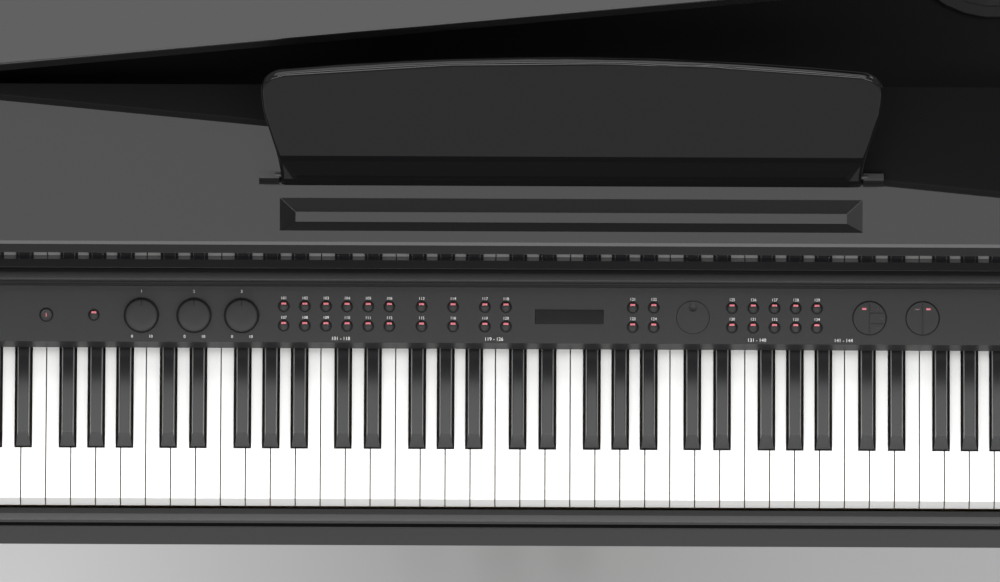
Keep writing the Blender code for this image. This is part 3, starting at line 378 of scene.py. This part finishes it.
def makeMaterial(name, look):
    material = bpy.data.materials.new(name)
    material.use_nodes = True
    tree = material.node_tree
    shader = tree.nodes["Principled BSDF"]
    place = tree.nodes.new("ShaderNodeTexCoord")
    group = tree.nodes.new("ShaderNodeGroup")
    group.node_tree = finishGroups[look["group"]]
    bump = tree.nodes.new("ShaderNodeBump")
    tree.links.new(place.outputs["Object"], group.inputs["Vector"])
    group.inputs["Dark"].default_value = (*look["dark"], 1.0)
    group.inputs["Light"].default_value = (*look["light"], 1.0)
    group.inputs["Grain Scale"].default_value = look["grain"]
    group.inputs["Smoothest"].default_value = look["rough"][0]
    group.inputs["Roughest"].default_value = look["rough"][1]
    tree.links.new(group.outputs["Color"], shader.inputs["Base Color"])
    tree.links.new(group.outputs["Roughness"], shader.inputs["Roughness"])
    tree.links.new(group.outputs["Height"], bump.inputs["Height"])
    tree.links.new(bump.outputs["Normal"], shader.inputs["Normal"])
    bump.inputs["Strength"].default_value = look["bump"]
    bump.inputs["Distance"].default_value = 0.001
    shader.inputs["Specular IOR Level"].default_value = look["specular"]
    shader.inputs["Coat Weight"].default_value = look.get("coat", 0.0)
    shader.inputs["Coat Roughness"].default_value = look.get("coatRough", 0.1)
    shader.inputs["Metallic"].default_value = look.get("metal", 0.0)
    return material


materials = {name: makeMaterial(name, look) for name, look in finishes.items()}


def makeLamp(name, dark, light, glow):
    # a small tinted lens with a set glow
    look = {
        "group": "moulded", "dark": dark, "light": light,
        "grain": 900.0, "rough": (0.2, 0.3), "bump": 0.01, "specular": 0.5, "coat": 0.4, "coatRough": 0.05,
    }
    material = makeMaterial(name, look)
    shader = material.node_tree.nodes["Principled BSDF"]
    shader.inputs["Emission Color"].default_value = (*light, 1.0)
    shader.inputs["Emission Strength"].default_value = glow
    return material


materials["redLamp"] = makeLamp("redLamp", (0.38, 0.06, 0.08), (0.62, 0.15, 0.18), 0.22)
materials["darkLamp"] = makeLamp("darkLamp", (0.03, 0.012, 0.014), (0.05, 0.02, 0.022), 0.0)
print("materials made")


# pieces that keep the frame's shape, with their edges eased
dressed = {
    "case_rim": {"finish": "caseLacquer", "ease": 0.0012, "steps": 3},
    "left_cheek": {"finish": "caseLacquer", "ease": 0.0010, "steps": 3},
    "right_cheek": {"finish": "caseLacquer", "ease": 0.0010, "steps": 3},
    "left_key_block": {"finish": "caseLacquer", "ease": 0.0020, "steps": 3},
    "right_key_block": {"finish": "caseLacquer", "ease": 0.0020, "steps": 3},
    "keybed": {"finish": "caseLacquer", "ease": 0.0008, "steps": 2},
    "keyslip": {"finish": "slipSatin", "ease": 0.0003, "steps": 2},
    "control_panel": {"finish": "satinControl", "ease": 0.0003, "steps": 2},
    "name_rail": {"finish": "fasciaLacquer", "ease": 0.0004, "steps": 2},
    "top_panel": {"finish": "caseLacquer", "ease": 0.0003, "steps": 2, "angle": 20.0, "sharp": 20.0},
    "lid": {"finish": "lidLacquer", "ease": 0.0020, "steps": 4},
    "lid_prop": {"finish": "caseLacquer", "ease": 0.0012, "steps": 3},
    "key_cover": {"finish": "coverSatin", "ease": 0.0008, "steps": 2},
    "cover_rail": {"finish": "coverSatin", "ease": 0.0004, "steps": 2},
    "music_desk": {"finish": "deskLacquer", "ease": 0.0, "steps": 2},
    "desk_hinge_rod": {"finish": "blackSteel", "ease": 0.0006, "steps": 2},
    "display_module": {"finish": "smokedWindow", "ease": 0.0003, "steps": 2},
    "left_leg": {"finish": "caseLacquer", "ease": 0.0030, "steps": 3},
    "right_leg": {"finish": "caseLacquer", "ease": 0.0030, "steps": 3},
    "rear_leg": {"finish": "caseLacquer", "ease": 0.0030, "steps": 3},
    "lyre": {"finish": "caseLacquer", "ease": 0.0015, "steps": 3},
    "soft_pedal": {"finish": "pedalBrass", "ease": 0.0016, "steps": 3},
    "sostenuto_pedal": {"finish": "pedalBrass", "ease": 0.0016, "steps": 3},
    "sustain_pedal": {"finish": "pedalBrass", "ease": 0.0016, "steps": 3},
    "power_button": {"finish": "satinControl", "ease": 0.0004, "steps": 2},
    "record_pads": {"finish": "satinControl", "ease": 0.0003, "steps": 2},
    "song_pads": {"finish": "satinControl", "ease": 0.0003, "steps": 2},
    "white_keys": {"finish": "whiteKeyTop", "ease": 0.0004, "steps": 2},
    "black_keys": {"finish": "blackKeyTop", "ease": 0.0007, "steps": 3},
}
for letterName in "cdefgab":
    dressed[f"key_{letterName}4"] = dressed["white_keys"]
for letterName in "cdfga":
    dressed[f"key_{letterName}s4"] = dressed["black_keys"]


def softened(node, look):
    twin = copyOf(frame["nodes"][node], "dressed_" + node)
    makeActive(twin)
    bpy.ops.object.mode_set(mode="EDIT")
    bpy.ops.mesh.select_all(action="SELECT")
    bpy.ops.mesh.remove_doubles(threshold=0.00001)
    bpy.ops.mesh.dissolve_limited(angle_limit=math.radians(1.0))
    leaveEdit()
    easeEdges(twin, look["ease"], look["steps"], look.get("angle", 30.0), look.get("sharp", 40.0))
    return hand(twin, bodyOf(node), materials[look["finish"]], [node])


for node, look in dressed.items():
    softened(node, look)
print("edges eased")

# the frame's own nodes that only need a finish
plainFinishes = {
    "bottom_board": "boardBlack",
    "inner_deck": "deckBlack",
    "lid_hinge": "hingeBrass",
    "panel_board": "circuitGreen",
    "key_frame": "bareTimber",
    "main_board": "circuitGreen",
    "power_supply": "finnedMetal",
    "left_speaker": "speakerPaper",
    "right_speaker": "speakerPaper",
}
for node, finish in plainFinishes.items():
    piece = frame["nodes"][node]
    piece.data.materials.clear()
    piece.data.materials.append(materials[finish])

# buttons, each a domed cap in its opening
buttons = {
    "radius": 0.0049,
    "shoulder": 0.0004,
    "crown": 0.0016,
    "foot": -0.0095,
    "webTop": -0.0080,
    "edge": 0.0059,
    "rows": (0.0340, 0.0157),
    "middle": 0.0250,
    "ring": (0.0050, 0.0058),
    "ringRise": 0.00012,
    "columns": {
        "rhythm_buttons": 6,
        "tempo_buttons": 2,
        "layer_buttons": 2,
        "function_buttons": 2,
        "voice_buttons": 5,
        "demo_button": 1,
    },
}


def buttonSpots(node):
    # the caps' middles, from the frame's box of the group
    low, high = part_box(node)
    count = buttons["columns"][node]
    first = low.x + buttons["edge"]
    step = (high.x - buttons["edge"] - first) / max(count - 1, 1)
    rows = (buttons["middle"],) if node == "demo_button" else buttons["rows"]
    return [(first + step * column, up) for up in rows for column in range(count)]


def makeDome(name, radius, foot, shoulder, crown, sides=32):
    # a drawn-up disc whose top closes in rings
    piece = addDisc(name, radius, foot, shoulder, sides)
    selectFaces(piece, lambda normal, middle: normal.z > 0.9)
    before = 1.0
    height = 0.0
    for angle in (22.5, 45.0, 66.0, 82.0):
        share = math.cos(math.radians(angle))
        rise = crown * math.sin(math.radians(angle))
        bpy.ops.mesh.extrude_region_move(TRANSFORM_OT_translate={"value": (0, 0, rise - height)})
        bpy.ops.transform.resize(value=(share / before, share / before, 1.0))
        before = share
        height = rise
    leaveEdit()
    easeEdges(piece, 0.0)
    return piece


def makeAnnulus(name, inner, outer, low, high, sides=40):
    ring = addDisc(name, outer, low, high, sides)
    cutAway(ring, addDisc(name + "Core", inner, low - 0.001, high + 0.001, sides))
    easeEdges(ring, 0.0)
    return ring


capModel = makeDome("capModel", buttons["radius"], buttons["foot"], buttons["shoulder"], buttons["crown"])
dashModel = addBlock("dashModel", (-0.0024, -0.0011, 0.0011), (0.0024, 0.0011, 0.00190))
easeEdges(dashModel, 0.0006, 3)
# a near-black ring laid in the gap round each cap, painted shade of the opening
ringModel = makeAnnulus("ringModel", *buttons["ring"], -0.0005, buttons["ringRise"])

allSpots = []
rings = []
for node in buttons["columns"]:
    spots = buttonSpots(node)
    allSpots += spots
    body = bodyOf(node)
    caps = [placeOnPanel(copyOf(capModel, f"{node}_cap"), x, up) for x, up in spots]
    low = (spots[0][0] - buttons["edge"], min(up for x, up in spots) - buttons["edge"], buttons["foot"])
    high = (spots[-1][0] + buttons["edge"], max(up for x, up in spots) + buttons["edge"], buttons["webTop"])
    web = addBlock(node + "_web", low, high)
    easeEdges(web, 0.0003, 1)
    caps.append(placeOnPanel(web, 0.0, 0.0))
    hand(joinPieces(node + "_caps", caps), body, materials["satinControl"], [node])
    dashes = [placeOnPanel(copyOf(dashModel, f"{node}_dash"), x, up + 0.0024) for x, up in spots]
    hand(joinPieces(node + "_lamps", dashes), body, materials["redLamp"])
    rings += [placeOnPanel(copyOf(ringModel, "capRing"), x, up) for x, up in spots]
print(len(allSpots), "buttons made")

# knobs, wheel and pads
knobs = {
    "xs": {"volume_knob": -0.4041, "bass_knob": -0.3546, "treble_knob": -0.3098},
    "radius": 0.0151,
    "well": 0.0167,
    "wellDepth": (-0.0019, -0.0012),
    "stem": (0.0030, -0.0108, -0.0010),
    "foot": -0.0017,
    "shoulder": 0.0088,
    "steps": ((0.0006, 0.0004), (0.0010, 0.0003), (0.0035, 0.0003), (0.0050, 0.00015)),
    "pointer": (0.0085, 0.0140),
    "pointerWidth": 0.0005,
}
knobModel = addDisc("knobModel", knobs["radius"], knobs["foot"], knobs["shoulder"], 64)
selectFaces(knobModel, lambda normal, middle: normal.z > 0.9)
for width, rise in knobs["steps"]:
    bpy.ops.mesh.inset(thickness=width, depth=rise)
leaveEdit()
easeEdges(knobModel, 0.0)
halfPointer = knobs["pointerWidth"]
pointerModel = addBlock(
    "pointerModel", (-halfPointer, knobs["pointer"][0], 0.0085), (halfPointer, knobs["pointer"][1], 0.0099)
)
easeEdges(pointerModel, 0.0002, 1)
# a near-black ring down in each knob's well, painted shade of the recess
wellModel = makeAnnulus("wellModel", 0.0153, knobs["well"] - 0.0001, *knobs["wellDepth"], 64)
for node, x in knobs["xs"].items():
    body = bodyOf(node)
    knob = placeOnPanel(copyOf(knobModel, node + "_cap"), x, buttons["middle"])
    stem = placeOnPanel(addDisc(node + "_stem", *knobs["stem"], 24), x, buttons["middle"])
    hand(joinPieces(node + "_turned", [knob, stem]), body, materials["satinControl"], [node])
    pointer = placeOnPanel(copyOf(pointerModel, node + "_pointer"), x, buttons["middle"])
    hand(pointer, body, materials["paintedShadeAndPointerBlack"])
    rings.append(placeOnPanel(copyOf(wellModel, "wellRing"), x, buttons["middle"]))

wheel = {"x": 0.1153, "radius": 0.0154, "top": 0.0010, "dimple": (0.0094, 0.0042), "depth": 0.0009}
wheelCap = addDisc("wheelCap", wheel["radius"], knobs["foot"], wheel["top"], 72)
deselectAll()
dimpleRadius = (wheel["dimple"][1] ** 2 + wheel["depth"] ** 2) / (2 * wheel["depth"])
dimplePlace = (0.0, wheel["dimple"][0], wheel["top"] + dimpleRadius - wheel["depth"])
bpy.ops.mesh.primitive_uv_sphere_add(segments=64, ring_count=48, radius=dimpleRadius, location=dimplePlace)
dimpleBall = bpy.context.active_object
applyPlace(dimpleBall)
cutAway(wheelCap, dimpleBall)
easeEdges(wheelCap, 0.0003, 2, 50.0)
placeOnPanel(wheelCap, wheel["x"], buttons["middle"])
wheelStem = placeOnPanel(addDisc("wheelStem", *knobs["stem"], 24), wheel["x"], buttons["middle"])
wheelDisc = joinPieces("data_wheel_disc", [wheelCap, wheelStem])
hand(wheelDisc, "wheel", materials["satinControl"], ["data_wheel"])
# a near-black ring round the wheel, painted shade of its gap
wheelRing = makeAnnulus("wheelRing", 0.01545, 0.0158, *knobs["wellDepth"], 72)
rings.append(placeOnPanel(wheelRing, wheel["x"], buttons["middle"]))

pads = {"record": 0.2816, "song": 0.3316, "top": 0.0015, "ring": (0.0158, 0.0165)}
# near-black rings round the two pads, painted shade of their gaps
for x in (pads["record"], pads["song"]):
    padRing = makeAnnulus("padRing", *pads["ring"], -0.0005, buttons["ringRise"], 64)
    rings.append(placeOnPanel(padRing, x, buttons["middle"]))
padFoot = pads["top"] - 0.0004
padDash = addBlock("padDash", (-0.0021, -0.0010, padFoot), (0.0021, 0.0010, pads["top"] + 0.0003))
easeEdges(padDash, 0.0004, 2)
padDot = makeDome("padDot", 0.0009, padFoot, pads["top"], 0.0004, 20)


def padLamp(name, model, x, up, body, material):
    lamp = placeOnPanel(copyOf(model, name), x, buttons["middle"] + up)
    return hand(lamp, body, materials[material])


padLamp("record_lamp", padDash, pads["record"] - 0.0050, 0.0087, "record_pads_group", "redLamp")
padLamp("song_left_lamp", padDash, pads["song"] - 0.0050, 0.0087, "song_pads_group", "darkLamp")
padLamp("song_right_lamp", padDash, pads["song"] + 0.0055, 0.0087, "song_pads_group", "redLamp")
for number, (x, up) in enumerate(((0.0085, 0.0087), (0.0123, 0.0), (0.0085, -0.0087))):
    padLamp(f"record_dot_{number}", padDot, pads["record"] + x, up, "record_pads_group", "darkLamp")

powerMark = addBlock("power_mark", (-0.0005, -0.0016, 0.0010), (0.0005, 0.0016, 0.00195))
easeEdges(powerMark, 0.0003, 2)
powerX = sum(corner.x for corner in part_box("power_button")) / 2
placeOnPanel(powerMark, powerX, buttons["middle"])
hand(powerMark, "power_button_group", materials["redLamp"])
powerArc = makeAnnulus("power_arc", 0.0022, 0.0028, 0.0008, 0.0019, 32)
placeOnPanel(powerArc, powerX, buttons["middle"])
hand(powerArc, "power_button_group", materials["darkLamp"])
# a near-black ring round the power button, painted shade of its gap
powerRing = makeAnnulus("powerRing", 0.0061, 0.0069, -0.0005, buttons["ringRise"], 40)
rings.append(placeOnPanel(powerRing, powerX, buttons["middle"]))
# all the near-black rings, painted shade round the controls, in one piece
hand(joinPieces("control_painted_shade_rings", rings), "case", materials["paintedShadeAndPointerBlack"])
for model in (capModel, dashModel, ringModel, knobModel, pointerModel, wellModel, padDash, padDot):
    bpy.data.objects.remove(model)
print("knobs, wheel and pads made")

# small printed numbers beside the controls
numbers = {
    "first": 101,
    "height": 0.0038,
    "rise": 0.0001,
    "above": 0.0076,
    "below": -0.0200,
    "aside": 0.0088,
    "overKnobs": 0.0475,
    "captions": {"101 - 118": -0.2164, "119 - 126": -0.0721, "131 - 140": 0.1755, "141 - 144": 0.2571},
    "captionUp": 0.0036,
    "captionHeight": 0.0046,
}


def printNumber(word, x, up, size):
    deselectAll()
    bpy.ops.object.text_add(location=(0.0, 0.0, 0.0))
    label = bpy.context.active_object
    label.data.body = word
    label.data.size = size
    label.data.align_x = "CENTER"
    label.data.align_y = "CENTER"
    label.data.extrude = numbers["rise"] / 2
    label.data.resolution_u = 3
    bpy.ops.object.convert(target="MESH")
    return placeOnPanel(bpy.context.active_object, x, up, numbers["rise"] / 2)


labels = []
for number, (x, up) in enumerate(spot for spot in allSpots if spot[1] != buttons["middle"]):
    labels.append(printNumber(str(number + numbers["first"]), x, up + numbers["above"], numbers["height"]))
under = buttons["middle"] + numbers["below"]
for x in knobs["xs"].values():
    labels.append(printNumber("0", x - numbers["aside"], under, numbers["height"]))
    labels.append(printNumber("10", x + numbers["aside"], under, numbers["height"]))
for word, x in numbers["captions"].items():
    labels.append(printNumber(word, x, numbers["captionUp"], numbers["captionHeight"]))
for number, x in enumerate(knobs["xs"].values()):
    labels.append(printNumber(str(number + 1), x, numbers["overKnobs"], numbers["height"]))
hand(joinPieces("panel_numbers", labels), "case", materials["inkWhite"])
print("numbers printed")

# felt along the keyslip, and the strip on the cover's rail with near-black ribs that are painted shade of
# fine grooves
trim = {"half": 0.610, "feltRear": -0.0027, "feltFront": -0.0079, "slipTop": -0.021, "railFront": 0.188}
trim["ribs"] = (0.0690, 0.0735, 0.0800)
felt = addBlock(
    "slip_felt",
    atKeys(-trim["half"], trim["feltFront"], trim["slipTop"] - 0.0005),
    atKeys(trim["half"], trim["feltRear"], trim["slipTop"] + 0.0002),
)
hand(felt, "case", materials["rubberBlack"])
strip = addBlock(
    "rail_strip",
    atKeys(-trim["half"], trim["railFront"] - 0.0002, trim["ribs"][0] - 0.0010),
    atKeys(trim["half"], trim["railFront"] + 0.0005, trim["ribs"][-1] + 0.0010),
)
hand(strip, bodyOf("cover_rail"), materials["rubberBlack"])
# near-black ribs across the rail's front, painted shade of fine grooves
ribs = [
    addBlock(
        "railShadeRib",
        atKeys(-trim["half"], trim["railFront"] - 0.0004, rise - 0.0005),
        atKeys(trim["half"], trim["railFront"] + 0.0003, rise + 0.0005),
    )
    for rise in trim["ribs"]
]
hand(joinPieces("rail_painted_shade_ribs", ribs), bodyOf("cover_rail"), materials["paintedShadeAndPointerBlack"])
print("felt and ribs laid")

# what stands around the piano: floor, light and camera
room = {
    "floorHalf": 12.0,
    "floorTone": (0.30, 0.30, 0.30),
    # glow of the floor for camera rays at left, middle and right; the dark middle is a painted shadow of the
    # piano
    "cameraGlowAndPaintedShadow": (0.35, 0.09, 0.13),
    "ambient": 0.42,
}
deselectAll()
bpy.ops.mesh.primitive_plane_add(size=2 * room["floorHalf"], location=(0.0, 0.0, 0.0))
floor = bpy.context.active_object
floor.name = "studio_floor"
floorMaterial = bpy.data.materials.new("studioFloor")
floorMaterial.use_nodes = True
tree = floorMaterial.node_tree
shader = tree.nodes["Principled BSDF"]
shader.inputs["Base Color"].default_value = (*room["floorTone"], 1.0)
shader.inputs["Roughness"].default_value = 0.7
place = tree.nodes.new("ShaderNodeTexCoord")
split = tree.nodes.new("ShaderNodeSeparateXYZ")
tree.links.new(place.outputs["Object"], split.inputs["Vector"])
# the floor's glow for camera rays runs across it in x: bright at the left, dipping to a painted shadow of
# the piano near the middle, a little brighter to the right
across = tree.nodes.new("ShaderNodeMapRange")
across.inputs["From Min"].default_value = -0.60
across.inputs["From Max"].default_value = 0.40
tree.links.new(split.outputs["X"], across.inputs["Value"])
tone = tree.nodes.new("ShaderNodeValToRGB")
left, paintedShadowCentre, right = room["cameraGlowAndPaintedShadow"]
tone.color_ramp.elements[0].color = (left, left, left, 1.0)
tone.color_ramp.elements[1].color = (right, right, right, 1.0)
middle = tone.color_ramp.elements.new(0.55)
middle.color = (paintedShadowCentre, paintedShadowCentre, paintedShadowCentre, 1.0)
tree.links.new(across.outputs["Result"], tone.inputs["Fac"])
tree.links.new(tone.outputs["Color"], shader.inputs["Emission Color"])
path = tree.nodes.new("ShaderNodeLightPath")
tree.links.new(path.outputs["Is Camera Ray"], shader.inputs["Emission Strength"])
floor.data.materials.append(floorMaterial)

lights = {
    "overheadSoftbox": {
        "size": (5.5, 2.5), "place": (-0.6, 0.45, 3.6),
        "aim": (-0.6, 0.45, 0.9), "radiance": 2.1,
    },
    "rightSoftbox": {
        "size": (1.7, 1.2), "place": (3.0, 1.0, 2.9),
        "aim": (-0.2, -0.2, 0.9), "radiance": 7.5,
    },
    "frontTopSoftbox": {
        "size": (5.0, 1.5), "place": (-0.1, -2.7, 4.3),
        "aim": (-0.1, -0.3, 0.8), "radiance": 4.5,
    },
    "frontSoftbox": {
        "size": (7.0, 1.1), "place": (-0.2, -4.8, 2.3),
        "aim": (-0.2, -0.3, 0.9), "radiance": 4.6,
    },
}
for name, look in lights.items():
    lamp = bpy.data.lights.new(name, "AREA")
    lamp.shape = "RECTANGLE"
    lamp.size, lamp.size_y = look["size"]
    lamp.energy = math.pi * look["size"][0] * look["size"][1] * look["radiance"]
    stand = bpy.data.objects.new(name, lamp)
    bpy.context.scene.collection.objects.link(stand)
    stand.location = look["place"]
    facing = Vector(look["aim"]) - Vector(look["place"])
    stand.rotation_euler = facing.to_track_quat("-Z", "Y").to_euler()

world = bpy.data.worlds.new("studioAir")
world.use_nodes = True
world.node_tree.nodes["Background"].inputs["Color"].default_value = (1.0, 1.0, 1.0, 1.0)
world.node_tree.nodes["Background"].inputs["Strength"].default_value = room["ambient"]
bpy.context.scene.world = world

view = {
    "lens": 1200.0,
    "distance": 31.44,
    "target": (-0.0665, -0.3262, 0.735),
    "tilt": 20.0,
    "roll": 0.0042,
}
lens = bpy.data.cameras.new("longLens")
lens.lens = view["lens"]
lens.sensor_width = 36.0
lens.clip_end = 100.0
camera = bpy.data.objects.new("longLens", lens)
bpy.context.scene.collection.objects.link(camera)
tilt = math.radians(view["tilt"])
back = Vector((0.0, -math.sin(tilt), math.cos(tilt))) * view["distance"]
turned = Matrix.Rotation(tilt, 4, "X") @ Matrix.Rotation(view["roll"], 4, "Z")
camera.matrix_world = Matrix.Translation(Vector(view["target"]) + back) @ turned
bpy.context.scene.camera = camera
bpy.context.scene.view_settings.view_transform = "Standard"
print("room lit")
